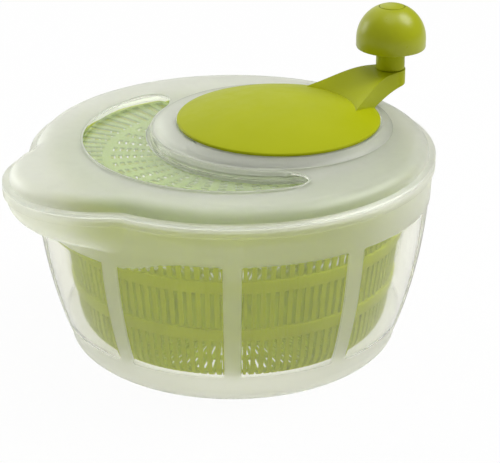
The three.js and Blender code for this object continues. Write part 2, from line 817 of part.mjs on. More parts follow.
const crankWasher = () =>
  tube(crankAxleRadius + fitGap, bossRadius - 0.5, crankBossTop + 0.25, crankBossTop + 0.75, {
    x: crankOffset,
    segments: 24,
  });

// Open clip that snaps into the axle's groove from the side.
function crankClip() {
  const top = wellBottom - 0.8;
  const neck = crankAxleRadius - 1.4 + fitGap;
  const ring = tube(neck, bossRadius - 0.5, top - clipThickness, top, { x: crankOffset, segments: 24 });
  const mouth = new THREE.BoxGeometry(bossRadius, 2 * neck - 0.8, 3);
  mouth.translate(crankOffset + bossRadius / 2, 0, top - 0.5);
  return ring.subtract(solid(mouth));
}

// ---------------------------------------------------------------- knob

const crownAt = (r) => knobBottom + knobSkirt + knobCrown * Math.sqrt(1 - (r / knobRadius) ** 2);

function crownCurve(from, to, steps) {
  const first = Math.asin(from / knobRadius);
  const last = Math.asin(to / knobRadius);
  return Array.from({ length: steps + 1 }, (_, i) => {
    const a = first + ((last - first) * i) / steps;
    const r = knobRadius * Math.sin(a);
    return [r, crownAt(r)];
  });
}

function knobDome() {
  const bore = knobPinRadius + fitGap;
  const plugBore = knobPlugRadius + fitGap;
  const profile = [
    [bore, knobBottom],
    [knobRadius - 0.8, knobBottom],
    [knobRadius, knobBottom + 0.8],
    ...crownCurve(knobRadius, plugBore, 7),
    [plugBore, knobPlugBottom - fitGap],
    [pinHeadRadius + fitGap, knobPlugBottom - fitGap],
    [pinHeadRadius + fitGap, pinHeadBottom - fitGap],
    [bore, pinHeadBottom - fitGap],
  ];
  return turned(profile, { x: knobAxisX, segments: 28 });
}

function knobPlug() {
  const base = [[0, knobPlugBottom], [knobPlugRadius, knobPlugBottom]];
  return turned([...base, ...crownCurve(knobPlugRadius, 0, 3)], { x: knobAxisX, segments: 32 });
}

const knobStem = () =>
  tube(knobPinRadius + fitGap, stemRadius, stemBottom, stemBottom + stemLength, {
    x: knobAxisX,
    segments: 32,
  });

// Shouldered pin fixed in the arm's end, on which the stem and the knob turn.
function knobPin() {
  const profile = [
    [0, knobPinBottom],
    [knobPinRadius, knobPinBottom],
    [knobPinRadius, pinHeadBottom],
    [pinHeadRadius, pinHeadBottom],
    [pinHeadRadius, pinHeadBottom + 3],
    [0, pinHeadBottom + 3],
  ];
  return turned(profile, { x: knobAxisX, segments: 20 });
}

// ---------------------------------------------------------------- assembly

const frosted = { color: 0xe9ece4, roughness: 0.45, metalness: 0 };
const green = { color: 0xa3ad14, roughness: 0.4, metalness: 0 };
const paleGreen = { color: 0xb4c648, roughness: 0.4, metalness: 0 };
const nylon = { color: 0xf0efe8, roughness: 0.5, metalness: 0 };
const steel = { color: 0xb9bcc0, roughness: 0.3, metalness: 1 };

function piece(name, manifold, look) {
  const mesh = new THREE.Mesh(geometryOf(manifold), new THREE.MeshStandardMaterial(look));
  mesh.name = name;
  return mesh;
}

const spinner = new THREE.Group();
spinner.add(
  piece("bowl", bowl(), frosted),
  piece("pivot_pin", pivotPin(), steel),
  piece("basket", basket(), paleGreen),
  piece("lid_shell", lidShell(), frosted),
  piece("bezel_ring", bezelRing(), frosted),
  piece("pinion_bush", pinionBush(), nylon),
  piece("pinion_gear", pinionGear(), nylon),
  piece("drive_hub", driveHub(), paleGreen),
  piece("drive_plate", drivePlate(), paleGreen),
  piece("thrust_washer", thrustWasher(), steel),
  piece("drive_screw", driveScrew(), steel),
  piece("crank_cover", crankCover(), green),
  piece("crank_axle", crankAxle(), steel),
  piece("crank_washer", crankWasher(), nylon),
  piece("crank_clip", crankClip(), steel),
  piece("ring_gear", ringGear(), nylon),
  ...gearScrewPlaces(crankOffset).map((place, i) => piece(`gear_screw_${i + 1}`, gearScrew(place), steel)),
  piece("knob_pin", knobPin(), steel),
  piece("knob_stem", knobStem(), green),
  piece("knob_dome", knobDome(), green),
  piece("knob_plug", knobPlug(), green),
);

export default spinner;
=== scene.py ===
"""Looks of a manual salad spinner: frosted bowl and lid, slotted green basket, green crank and knob.

Metres, +Z up, spout along -X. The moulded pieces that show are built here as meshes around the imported
CAD frame, and the small pieces inside, of steel, nylon and green plastic, keep the CAD's own meshes.
"""

import math

import bpy
import numpy as np
from mathutils import Matrix, Vector


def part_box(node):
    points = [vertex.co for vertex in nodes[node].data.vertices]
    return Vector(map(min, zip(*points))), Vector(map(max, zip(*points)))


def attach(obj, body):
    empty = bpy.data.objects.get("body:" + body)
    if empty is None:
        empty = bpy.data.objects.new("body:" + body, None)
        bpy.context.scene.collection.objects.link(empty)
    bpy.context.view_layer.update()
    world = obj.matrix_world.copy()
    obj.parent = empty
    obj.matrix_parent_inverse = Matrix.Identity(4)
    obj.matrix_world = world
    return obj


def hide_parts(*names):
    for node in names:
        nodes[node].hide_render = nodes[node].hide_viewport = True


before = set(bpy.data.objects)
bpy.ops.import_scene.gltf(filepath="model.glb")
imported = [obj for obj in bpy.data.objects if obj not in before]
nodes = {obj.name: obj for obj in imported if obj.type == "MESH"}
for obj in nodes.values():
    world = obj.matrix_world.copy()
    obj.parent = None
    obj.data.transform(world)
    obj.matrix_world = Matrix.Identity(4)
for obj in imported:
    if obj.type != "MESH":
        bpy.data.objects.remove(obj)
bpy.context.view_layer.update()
MM = 0.001


# ---------------------------------------------------------------- sizes, in metres

def low(node):
    """Lower corner of a CAD node's box."""
    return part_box(node)[0]


def high(node):
    """Upper corner of a CAD node's box."""
    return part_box(node)[1]


# Bowl and its spout.
RIM_TOP = high("bowl").z
RIM_R = 125 * MM
SPOUT_REACH = -low("bowl").x - RIM_R
SPOUT_R = 60 * MM
SPOUT_DEPTH = 25 * MM
SPOUT_BLEND = 7 * MM
BOWL_WALL = 2.2 * MM
BOWL_FLOOR = 2.4 * MM
LIP_HEIGHT = 5.6 * MM
LIP_STAND = 1.8 * MM
LIP_WALL = 3.2 * MM
BASE_R = 70 * MM
FOOT_R = 103.3 * MM
FOOT_TOP = 15 * MM
WALL_BULGE = 5 * MM
WALL_TOP = RIM_TOP - LIP_HEIGHT - 0.4 * MM

# Clear windows in the bowl's frosted wall.
WINDOW_COUNT = 10
RIB_AZIMUTH = math.radians(238.2)  # middle of one rib, anticlockwise from +X
RIB_WIDTH = math.radians(5.0)
PANE_LOW = 26 * MM
PANE_HIGH = 104 * MM
PANE_DIP = 8.5 * MM  # how much lower the windows' top edge runs under the spout
DIP_REACH = math.radians(45)  # from the spout's middle to where the dip ends
DIP_RAMP = math.radians(20)  # over which it fades
PANE_CORNER = 1.5 * MM
PANE_SINK = 0.5 * MM
PANE_BLEND = 0.9 * MM  # width of the change from frosted to clear
RIM_SEGMENTS = 720
PIVOT_BOSS_R = 8 * MM
PIVOT_BOSS_TOP = 9.4 * MM
PIVOT_BORE_R = 3.3 * MM

# Basket.
BASKET_TOP = high("basket").z
BASKET_FLOOR = low("basket").z
BASKET_RIM_R = 111.5 * MM
BASKET_RIM_WIDTH = 3 * MM
BASKET_WALL = 1.5 * MM
BASKET_FOOT_R = 95.6 * MM
BASKET_SLOTS = 120
BASKET_SLOT_SHARE = 0.47  # open part of each slot's pitch
BASKET_BAND = 11.5 * MM
BASKET_CORNER = 6 * MM  # height of the rounded corner at the foot
CURVE_START = 0.4  # share of the lowest band, from its foot, where the wall starts to curve in
BASKET_FLOOR_INSET = 13.6 * MM  # from the wall's foot to the flat floor
FLOOR_RINGS = [r * MM for r in (80, 66, 62, 48, 44, 34)]  # edges of the floor's rings, slotted by turns
PIN_SOCKET_R = 3.6 * MM
HOOP_HEIGHT = 8.7 * MM
HOOP_STAND = 1.2 * MM
LUG_ANGLES = [math.radians(45 + 90 * k) for k in range(4)]
NOTCH_HALF = 6 * MM
NOTCH_DEPTH = 2.2 * MM

# Lid.
LID_TOP = RIM_TOP + 10 * MM
FLANGE_LOW = RIM_TOP + 0.3 * MM
FLANGE_TOP = FLANGE_LOW + 1.8 * MM
FLANGE_WIDTH = 4 * MM
SHOULDER_INSET = 14 * MM
LID_WALL = 2 * MM
LID_SEGMENTS = 360
SKIRT_LOW = low("lid_shell").z
WINDOW_R = 92.5 * MM
WINDOW_END = 90.5  # degrees from the spout's direction
WINDOW_END_ROUND = 9
PANE_DROP = 4 * MM
WELL_X = 29.5 * MM
WELL_R = 75.2 * MM
WELL_WALL = 2 * MM
WELL_FLOOR = 2 * MM
WELL_ROUND = 4.5 * MM
WELL_FLARE = 4 * MM
AXLE_BOSS_R = 9 * MM
AXLE_BOSS_HEIGHT = 6 * MM
AXLE_BORE_R = 5.3 * MM
BUSH_BORE_R = 8 * MM
LIP_SECTION = (0.75 * MM, 0.5 * MM)  # half width and half height of the bead round the crescent
BEZEL_GAP = 0.8 * MM  # from the disc's edge

# Crank and knob.
CRANK_X = 33.75 * MM
DISC_R = 63.475 * MM
DISC_SEGMENTS = 192
DISC_LOW = high("ring_gear").z + 0.7 * MM
DISC_EDGE = 1.8 * MM
DOME_HEIGHT = 11 * MM
DISC_WALL = 2.4 * MM
ARM_ROOT_R = DISC_R - 16 * MM
ARM_RISE = 12.1 * MM
ARM_RISE_LENGTH = 30 * MM
ARM_DEPTH = 9.3 * MM
ARM_ROOT_HALF = 28 * MM
ARM_END_R = 9.8 * MM
ARM_WAIST = ARM_END_R + 3.7 * MM  # half width that the sides steer by
ARM_BEND = 0.62  # how far along the arm that is
ARM_EDGE_R = 0.9 * MM
KNOB_X = (low("knob_stem").x + high("knob_stem").x) / 2
KNOB_R = 22.25 * MM
KNOB_SKIRT = 6 * MM
PLUG_R = 8 * MM
STEM_R = 9.2 * MM
PIN_BORE_R = 3.3 * MM
PIN_HEAD_BORE_R = 5.8 * MM

# Drive plate.
PLATE_TOP = high("drive_plate").z
PLATE_LOW = low("drive_plate").z
PLATE_R = 107 * MM
PLATE_WEB = 1.1 * MM
PLATE_SLOTS = 72
PLATE_SLOT_SHARE = 0.55
SLOTS_OUTER_R = 105.5 * MM
SLOTS_INNER_R = 80.5 * MM
HOLES_OUTER_R = 75 * MM
HOLES_INNER_R = 30 * MM
HOLE_PITCH = 4.4 * MM
HOLE_LENGTH = 3.0 * MM
LUG_HALF = 5 * MM
LUG_REACH = 110.3 * MM
HUB_NECK_R = 10 * MM


# ---------------------------------------------------------------- mesh helpers

def make(name, points, faces, sharp=32):
    """A mesh object with smooth faces, crisp where they meet at more than that many degrees."""
    mesh = bpy.data.meshes.new(name)
    mesh.from_pydata([tuple(p) for p in points], [], [tuple(f) for f in faces])
    mesh.validate()
    mesh.shade_smooth()
    mesh.set_sharp_from_angle(angle=math.radians(sharp))
    obj = bpy.data.objects.new(name, mesh)
    bpy.context.scene.collection.objects.link(obj)
    return obj


def outward(points, faces):
    """The faces, all turned over if they point inwards."""
    p = np.asarray(points, float)
    volume = 0.0
    for f in faces:
        for i in range(1, len(f) - 1):
            volume += float(np.dot(p[f[0]], np.cross(p[f[i]], p[f[i + 1]])))
    return faces if volume > 0 else [tuple(reversed(f)) for f in faces]


def skin(name, rings, closed=False, sharp=32):
    """A closed surface through rings of points: capped at both ends, or joined end to end."""
    size = len(rings[0])
    points = np.concatenate(rings)
    faces = []
    count = len(rings)
    for row in range(count if closed else count - 1):
        a0, b0 = row * size, ((row + 1) % count) * size
        for i in range(size):
            j = (i + 1) % size
            faces.append((a0 + i, a0 + j, b0 + j, b0 + i))
    if not closed:
        faces.append(tuple(range(size))[::-1])
        faces.append(tuple(range((count - 1) * size, count * size)))
    return make(name, points, outward(points, faces), sharp)


def circle_ring(radius, z, x=0.0, segments=128):
    a = np.linspace(0, 2 * math.pi, segments, endpoint=False)
    return np.stack([x + radius * np.cos(a), radius * np.sin(a), np.full(segments, z)], 1)


def lathe(name, profile, x=0.0, segments=128, sharp=32):
    """A body turned about the vertical axis through (x, 0), from a profile of (radius, height).
    A profile that starts and ends on the axis is capped there, and any other is a closed loop."""
    solid = profile[0][0] < 1e-7 and profile[-1][0] < 1e-7
    steps = [(max(r, 0.02 * MM), z) for r, z in profile]
    rings = [circle_ring(r, z, x, segments) for r, z in steps]
    return skin(name, rings, closed=not solid, sharp=sharp)


def rounded(profile, radius, steps=4, skip=()):
    """The closed profile with each corner rounded by up to that radius, apart from the skipped ones."""
    points = [np.array(p, float) for p in profile]
    made = []
    for i, corner in enumerate(points):
        before, after = points[i - 1], points[(i + 1) % len(points)]
        to_before, to_after = before - corner, after - corner
        reach = min(radius, 0.45 * np.linalg.norm(to_before), 0.45 * np.linalg.norm(to_after))
        if i in skip or reach < 1e-6:
            made.append(corner)
            continue
        start = corner + to_before / np.linalg.norm(to_before) * reach
        end = corner + to_after / np.linalg.norm(to_after) * reach
        for s in np.linspace(0, 1, steps + 1):
            made.append((1 - s) ** 2 * start + 2 * s * (1 - s) * corner + s ** 2 * end)
    return [tuple(p) for p in made]


def baked(obj, sharp=32):
    """The object with its modifiers applied."""
    graph = bpy.context.evaluated_depsgraph_get()
    mesh = bpy.data.meshes.new_from_object(obj.evaluated_get(graph))
    obj.modifiers.clear()
    obj.data = mesh
    mesh.shade_smooth()
    mesh.set_sharp_from_angle(angle=math.radians(sharp))
    return obj


def boolean(obj, other, operation):
    """obj joined with or cut by another object, which is used up."""
    modifier = obj.modifiers.new("boolean", "BOOLEAN")
    modifier.object, modifier.operation, modifier.solver = other, operation, "EXACT"
    bpy.context.view_layer.update()
    baked(obj)
    bpy.data.objects.remove(other)
    return obj


def bevel(obj, width, segments=3, angle=50, sharp=40):
    modifier = obj.modifiers.new("bevel", "BEVEL")
    modifier.width, modifier.segments = width, segments
    modifier.limit_method, modifier.angle_limit = "ANGLE", math.radians(angle)
    bpy.context.view_layer.update()
    return baked(obj, sharp)


def prism(name, outline, z0, z1):
    """An upright prism over a plan outline of (x, y) points."""
    rings = [np.array([(x, y, z) for x, y in outline]) for z in (z0, z1)]
    return skin(name, rings)


def lattice(name, pairs, is_open, columns, angle_at):
    """A turned wall with holes. Each pair is an outer and an inner (radius, height), is_open(row, column)
    says which cells are holes, and angle_at gives the angle of a column's start."""
    points, index, faces = [], {}, []

    def vertex(edge, side, column):
        key = (edge, side, column % columns)
        if key not in index:
            r, z = pairs[edge][side]
            a = angle_at(column % columns)
            index[key] = len(points)
            points.append((r * math.cos(a), r * math.sin(a), z))
        return index[key]

    def corners(edge, column):
        return [vertex(edge, side, column) for side in (0, 1)]

    rows = len(pairs) - 1
    for column in range(columns):
        for row in range(rows):
            if is_open(row, column):
                continue
            up_out, up_in = corners(row, column)
            down_out, down_in = corners(row + 1, column)
            up_out_n, up_in_n = corners(row, column + 1)
            down_out_n, down_in_n = corners(row + 1, column + 1)
            faces.append((up_out, down_out, down_out_n, up_out_n))
            faces.append((up_in, up_in_n, down_in_n, down_in))
            if is_open(row, (column - 1) % columns):
                faces.append((up_out, up_in, down_in, down_out))
            if is_open(row, (column + 1) % columns):
                faces.append((up_out_n, down_out_n, down_in_n, up_in_n))
            if row == 0 or is_open(row - 1, column):
                faces.append((up_out, up_out_n, up_in_n, up_in))
            if row == rows - 1 or is_open(row + 1, column):
                faces.append((down_out, down_in, down_in_n, down_out_n))
    return make(name, points, outward(points, faces), sharp=40)


def slot_angles(count, open_share):
    """Angle of each column's start, where even columns are slots and odd ones are the bars between."""
    pitch = 2 * math.pi / count
    return lambda column: (column // 2 + (open_share if column % 2 else 0)) * pitch


def disc_between(name, radius, z0, z1, x, segments):
    """A solid cylinder about the upright axis through (x, 0)."""
    return lathe(name, [(0, z0), (radius, z0), (radius, z1), (0, z1)], x, segments)


# ---------------------------------------------------------------- shared outline

def soft_max(a, b, blend):
    """The larger of two values, with the change between them rounded over."""
    h = np.maximum(blend - np.abs(a - b), 0) / blend
    return np.maximum(a, b) + h * h * blend / 4


def outline_radius(angle, circle, nose, lobe):
    """Distance from the axis to a circle with the spout's lobe on one side, at angles from the spout."""
    centre = nose - lobe
    under = np.maximum(lobe ** 2 - (centre * np.sin(angle)) ** 2, 0)
    reach = centre * np.cos(angle) + np.sqrt(under)
    ahead = np.where(np.cos(angle) > 0, reach, 0)
    return soft_max(circle, ahead, min(SPOUT_BLEND, max(nose - circle, 0.01 * MM)))


def ring_at(radius, z, segments):
    a = np.linspace(0, 2 * math.pi, segments, endpoint=False)
    r = radius(a) if callable(radius) else np.full(segments, radius)
    return np.stack([-r * np.cos(a), -r * np.sin(a), np.full(segments, z)], 1)


def rim_ring(inset, z, segments=RIM_SEGMENTS):
    def radius(a):
        return outline_radius(a, RIM_R - inset, RIM_R + SPOUT_REACH - inset, max(SPOUT_R - inset, 0.02))
    return ring_at(radius, z, segments)


# ---------------------------------------------------------------- bowl

def wall_radius(z):
    """Radius of the bowl's bulging wall, away from its spout."""
    t = (z - FOOT_TOP) / (WALL_TOP - FOOT_TOP)
    top = RIM_R - LIP_STAND
    return FOOT_R + (top - FOOT_R) * t + 4 * WALL_BULGE * t * (1 - t)


def pane_mask(angle, z, radius):
    """1 inside the bowl's clear windows and 0 on the frosted wall. angle is anticlockwise from +X."""
    pitch = 2 * math.pi / WINDOW_COUNT
    from_middle = (angle - RIB_AZIMUTH) % pitch - pitch / 2
    half = (pitch - RIB_WIDTH) / 2 * radius
    near_spout = np.clip((DIP_REACH - np.abs(angle - math.pi)) / DIP_RAMP, 0, 1)
    top = PANE_HIGH - PANE_DIP * near_spout ** 2 * (3 - 2 * near_spout)
    dx = np.abs(from_middle) * radius - (half - PANE_CORNER)
    dz = np.abs(z - (PANE_LOW + top) / 2) - ((top - PANE_LOW) / 2 - PANE_CORNER)
    outside = np.hypot(np.maximum(dx, 0), np.maximum(dz, 0)) + np.minimum(np.maximum(dx, dz), 0) - PANE_CORNER
    t = np.clip(0.5 - outside / PANE_BLEND, 0, 1)
    return t * t * (3 - 2 * t)


def wall_ring(z, thickness, segments=RIM_SEGMENTS, sink=0.0):
    """One ring of the bowl's wall, with the spout's hollow near the rim, and the mask of its windows."""
    fade = min(max((WALL_TOP - z) / (WALL_TOP - (RIM_TOP - SPOUT_DEPTH)), 0), 1)
    circle = wall_radius(z) - thickness
    swell = (SPOUT_REACH - LIP_STAND) * math.sqrt(1 - fade ** 2)
    a = np.linspace(0, 2 * math.pi, segments, endpoint=False)
    mask = pane_mask((a + math.pi) % (2 * math.pi), z, circle)
    if fade >= 1:
        r = circle - sink * mask
    else:
        r = outline_radius(a, circle, RIM_R + swell - thickness, SPOUT_R - LIP_STAND - thickness)
    return np.stack([-r * np.cos(a), -r * np.sin(a), np.full(segments, z)], 1), mask


def bowl_shell():
    """The bowl, with its lip and spout, and a mask on its mesh that says where it is clear."""
    spout_low = RIM_TOP - SPOUT_DEPTH
    levels = list(np.linspace(FOOT_TOP, spout_low, 64)[1:])
    levels += [WALL_TOP - (WALL_TOP - spout_low) * math.cos(math.radians(a)) for a in range(6, 91, 6)]
    blank = np.zeros(RIM_SEGMENTS)

    def foot(side, floor):
        """Rings from the middle of the base up its rounded edge."""
        places = [(0.4 * MM, floor), (BASE_R * 0.5, floor)]
        for a in range(0, 91, 6):
            r = BASE_R + (FOOT_R - side - BASE_R) * math.sin(math.radians(a))
            places.append((r, FOOT_TOP - (FOOT_TOP - floor) * math.cos(math.radians(a))))
        return [(ring_at(r, z, RIM_SEGMENTS), blank) for r, z in places]

    lip = RIM_TOP - LIP_HEIGHT
    outside = foot(0, 0) + [wall_ring(z, 0, sink=PANE_SINK) for z in levels]
    outside += [(rim_ring(inset, z), blank) for inset, z in (
        (0.9 * MM, lip - 0.15 * MM), (0.35 * MM, lip), (0.05 * MM, lip + 0.4 * MM), (0, lip + 0.9 * MM),
        (0, RIM_TOP - 1.0 * MM), (0.15 * MM, RIM_TOP - 0.5 * MM), (0.5 * MM, RIM_TOP - 0.15 * MM),
        (1.0 * MM, RIM_TOP), (LIP_WALL - 0.7 * MM, RIM_TOP), (LIP_WALL - 0.2 * MM, RIM_TOP - 0.3 * MM))]
    inside = [(rim_ring(LIP_WALL, RIM_TOP - 1 * MM), blank), (rim_ring(LIP_WALL, lip + 1 * MM), blank)]
    inside += [wall_ring(z, BOWL_WALL) for z in reversed(levels)]
    inside += list(reversed(foot(BOWL_WALL, BOWL_FLOOR)))
    rings, masks = zip(*(outside + inside))
    obj = skin("bowl_shell", list(rings), sharp=50)
    clear = obj.data.attributes.new("clear", "FLOAT", "POINT")
    clear.data.foreach_set("value", np.concatenate(masks).astype(np.float32))
    return obj


def pivot_boss():
    foot = BOWL_FLOOR + 0.02 * MM
    profile = [(PIVOT_BOSS_R, foot), (PIVOT_BOSS_R, PIVOT_BOSS_TOP), (PIVOT_BORE_R, PIVOT_BOSS_TOP),
               (PIVOT_BORE_R, foot)]
    return lathe("bowl_boss", rounded(profile, 0.8 * MM, skip=(0, 3)), segments=64)


# ---------------------------------------------------------------- basket

def basket_radius(z):
    t = (z - BASKET_FLOOR) / (BASKET_TOP - BASKET_FLOOR)
    return BASKET_FOOT_R + (BASKET_RIM_R - 0.7 * MM - BASKET_FOOT_R) * t


def basket_wall(z, stand=0.0):
    """Outer and inner (radius, height) of the basket's wall."""
    r = basket_radius(z)
    return (r + stand, z), (r - BASKET_WALL, z)


def basket_rim():
    inner = BASKET_RIM_R - BASKET_RIM_WIDTH
    edge = 0.6 * MM
    return [((BASKET_RIM_R - edge, BASKET_TOP), (inner + edge, BASKET_TOP)),
            ((BASKET_RIM_R, BASKET_TOP - edge), (inner, BASKET_TOP - edge)),
            ((BASKET_RIM_R, BASKET_TOP - 3 * MM), (inner, BASKET_TOP - 3 * MM))]


def basket_hoop(top):
    """A raised band round the wall, with soft shoulders."""
    s = HOOP_STAND
    return [basket_wall(top, 0), basket_wall(top - 0.5 * MM, 0.8 * s), basket_wall(top - 1.3 * MM, s),
            basket_wall(top - HOOP_HEIGHT + 1.3 * MM, s),
            basket_wall(top - HOOP_HEIGHT + 0.5 * MM, 0.8 * s), basket_wall(top - HOOP_HEIGHT, 0)]


def basket_foot(start_height):
    """The curve from the wall down to the flat floor."""
    start = np.array([basket_radius(start_height), start_height])
    bend = np.array([basket_radius(BASKET_FLOOR + BASKET_CORNER) - 1 * MM, BASKET_FLOOR + 1 * MM])
    end = np.array([BASKET_FOOT_R - BASKET_FLOOR_INSET, BASKET_FLOOR])
    pairs = []
    for t in np.linspace(0, 1, 8)[1:]:
        p = (1 - t) ** 2 * start + 2 * t * (1 - t) * bend + t ** 2 * end
        tangent = 2 * (1 - t) * (bend - start) + 2 * t * (end - bend)
        inwards = np.array([tangent[1], -tangent[0]]) / np.linalg.norm(tangent)
        q = p + inwards * BASKET_WALL
        pairs.append((tuple(p), (q[0], max(q[1], BASKET_FLOOR + 0.2 * MM))))
    return pairs


def basket_socket():
    """The floor's rise in the middle, which sits over the pivot pin."""
    r, top = PIN_SOCKET_R, high("pivot_pin").z
    return [((r + 0.9 * MM, BASKET_FLOOR), (r + 8.4 * MM, BASKET_FLOOR + BASKET_WALL)),
            ((r, top + 0.3 * MM), (r + 4.4 * MM, top + 2 * MM)),
            ((0.1 * MM, top + 0.3 * MM), (0.1 * MM, top + 3.5 * MM))]


def cut_notches(obj):
    """Notches in the basket's rim for the drive plate's lugs."""
    across, along = 4 * MM, NOTCH_HALF
    corners = [(-across, -along), (across, -along), (across, along), (-across, along)]
    for angle in LUG_ANGLES:
        cutter = prism("notch", corners, BASKET_TOP - NOTCH_DEPTH, BASKET_TOP + 1 * MM)
        out = Matrix.Translation((BASKET_RIM_R - 1.5 * MM, 0, 0))
        cutter.data.transform(Matrix.Rotation(angle, 4, "Z") @ out)
        boolean(obj, cutter, "DIFFERENCE")


def basket_cage():
    """The basket: a solid rim, three bands of slots between hoops, a slotted floor and its socket."""
    slots_top = BASKET_TOP - BASKET_BAND
    slots_low = BASKET_FLOOR + BASKET_CORNER
    band = (slots_top - slots_low - 2 * HOOP_HEIGHT) / 3
    pairs = basket_rim() + [basket_wall(slots_top)]
    opened = set()
    for turn in range(2):
        opened.add(len(pairs) - 1)
        pairs += basket_hoop(slots_top - band - turn * (band + HOOP_HEIGHT))
    curve_start = slots_low + band * CURVE_START
    opened.add(len(pairs) - 1)
    pairs.append(basket_wall(curve_start))
    foot = basket_foot(curve_start)
    opened.update(range(len(pairs) - 1, len(pairs) - 1 + len(foot)))
    pairs += foot
    for i, r in enumerate(FLOOR_RINGS):
        if i % 2 == 1:
            opened.add(len(pairs) - 1)
        pairs.append(((r, BASKET_FLOOR), (r, BASKET_FLOOR + BASKET_WALL)))
    pairs += basket_socket()
    is_open = lambda row, column: row in opened and column % 2 == 0
    angles = slot_angles(BASKET_SLOTS, BASKET_SLOT_SHARE)
    obj = lattice("basket_cage", pairs, is_open, 2 * BASKET_SLOTS, angles)
    cut_notches(obj)
    return obj


# ---------------------------------------------------------------- drive plate

def drive_plate():
    """Perforated disc over the basket: long slots round the edge and rows of small holes inside."""
    thick = lambda r: ((r, PLATE_TOP), (r, PLATE_LOW))
    web = lambda r: ((r, PLATE_TOP), (r, PLATE_TOP - PLATE_WEB))
    pairs = [thick(PLATE_R), thick(SLOTS_OUTER_R + 0.4 * MM), web(SLOTS_OUTER_R)]
    slot_row, hole_rows = len(pairs) - 1, set()
    pairs += [web(SLOTS_INNER_R), web(HOLES_OUTER_R)]
    r = HOLES_OUTER_R
    while r - HOLE_PITCH > HOLES_INNER_R:
        hole_rows.add(len(pairs) - 1)
        pairs += [web(r - HOLE_LENGTH), web(r - HOLE_PITCH)]
        r -= HOLE_PITCH
    pairs.append(thick(HUB_NECK_R))

    def is_open(row, column):
        return (row == slot_row and column % 2 == 0) or (row in hole_rows and column % 4 < 2)

    angles = slot_angles(PLATE_SLOTS, PLATE_SLOT_SHARE)
    obj = lattice("plate_disc", pairs, is_open, 2 * PLATE_SLOTS, angles)
    add_lugs(obj)
    return obj


def add_lugs(obj):
    """Lugs on the plate's edge that drop into the basket's notches."""
    root = PLATE_R - 1.2 * MM
    corners = [(root, -LUG_HALF), (LUG_REACH, -LUG_HALF), (LUG_REACH, LUG_HALF), (root, LUG_HALF)]
    for angle in LUG_ANGLES:
        lug = prism("lug", corners, PLATE_LOW + 0.2 * MM, PLATE_TOP - 0.2 * MM)
        lug.data.transform(Matrix.Rotation(angle, 4, "Z"))
        boolean(obj, lug, "UNION")


# ---------------------------------------------------------------- lid

def window_outline(grow):
    """Outline of the crescent window: the lid's circle outside, the gear well's inside, round ends."""
    outer, inner = [], []
    steps = 96
    end = WINDOW_END + math.degrees(grow / WINDOW_R)
    for i in range(steps + 1):
        degrees = end * math.sin((i / steps * 2 - 1) * math.pi / 2)
        a = math.radians(degrees)
        wide = WELL_R + 0.6 * MM - grow
        near = -WELL_X * math.cos(a) + math.sqrt(wide ** 2 - (WELL_X * math.sin(a)) ** 2)
        far = WINDOW_R + grow
        over = max(abs(degrees) - (end - WINDOW_END_ROUND), 0) / WINDOW_END_ROUND
        half = (far - near) / 2 * math.sqrt(max(1 - over ** 2, 0))
        middle = (far + near) / 2
        outer.append((-(middle + half) * math.cos(a), -(middle + half) * math.sin(a)))
        if 0 < i < steps:
            inner.append((-(middle - half) * math.cos(a), -(middle - half) * math.sin(a)))
    return outer + inner[::-1]


def inside_outline(outline, x, y):
    """Whether each point lies inside a plan outline."""
    inside = np.zeros(len(x), bool)
    for (x0, y0), (x1, y1) in zip(outline, outline[1:] + outline[:1]):
        crosses = (y0 > y) != (y1 > y)
        at = x0 + (y - y0) * (x1 - x0) / (y1 - y0 if y1 != y0 else 1e-12)
        inside ^= crosses & (x < at)
    return inside


def lid_crown():
    """The lid's skirt, flange, curved wall and flat top, without window or well."""
    def wall(thickness, steps=range(0, 91, 6)):
        """Rings up the curved wall, on its outside or that far inside it."""
        width = SHOULDER_INSET - FLANGE_WIDTH - thickness
        height = LID_TOP - FLANGE_TOP - thickness
        return [rim_ring(SHOULDER_INSET - width * math.cos(math.radians(a)),
                         FLANGE_TOP + height * math.sin(math.radians(a)), LID_SEGMENTS) for a in steps]

    skirt_out = LIP_WALL + 0.3 * MM
    skirt_in = skirt_out + 1.8 * MM
    flange = [(skirt_in, FLANGE_LOW), (skirt_in, SKIRT_LOW + 0.3 * MM), (skirt_in - 0.3 * MM, SKIRT_LOW),
              (skirt_out + 0.4 * MM, SKIRT_LOW), (skirt_out, SKIRT_LOW + 0.6 * MM), (skirt_out, FLANGE_LOW),
              (0.4 * MM, FLANGE_LOW), (0.0, FLANGE_LOW + 0.4 * MM), (0.0, FLANGE_TOP - 0.6 * MM),
              (0.2 * MM, FLANGE_TOP - 0.2 * MM), (0.6 * MM, FLANGE_TOP)]
    rings = [rim_ring(SHOULDER_INSET + 2 * MM, LID_TOP - LID_WALL, LID_SEGMENTS)]
    rings += wall(LID_WALL)[::-1]
    rings += [rim_ring(inset, z, LID_SEGMENTS) for inset, z in flange]
    rings += wall(0) + [rim_ring(SHOULDER_INSET + 1.5 * MM, LID_TOP, LID_SEGMENTS)]
    return skin("lid_body", rings, sharp=40)


def well_corner(wall):
    """Rounded corner between the gear well's floor and its wall, that far inside the outer surface."""
    radius = WELL_ROUND - wall
    return [(WELL_R - WELL_ROUND + radius * math.sin(math.radians(a)),
             RIM_TOP + WELL_ROUND - radius * math.cos(math.radians(a))) for a in range(0, 91, 10)]


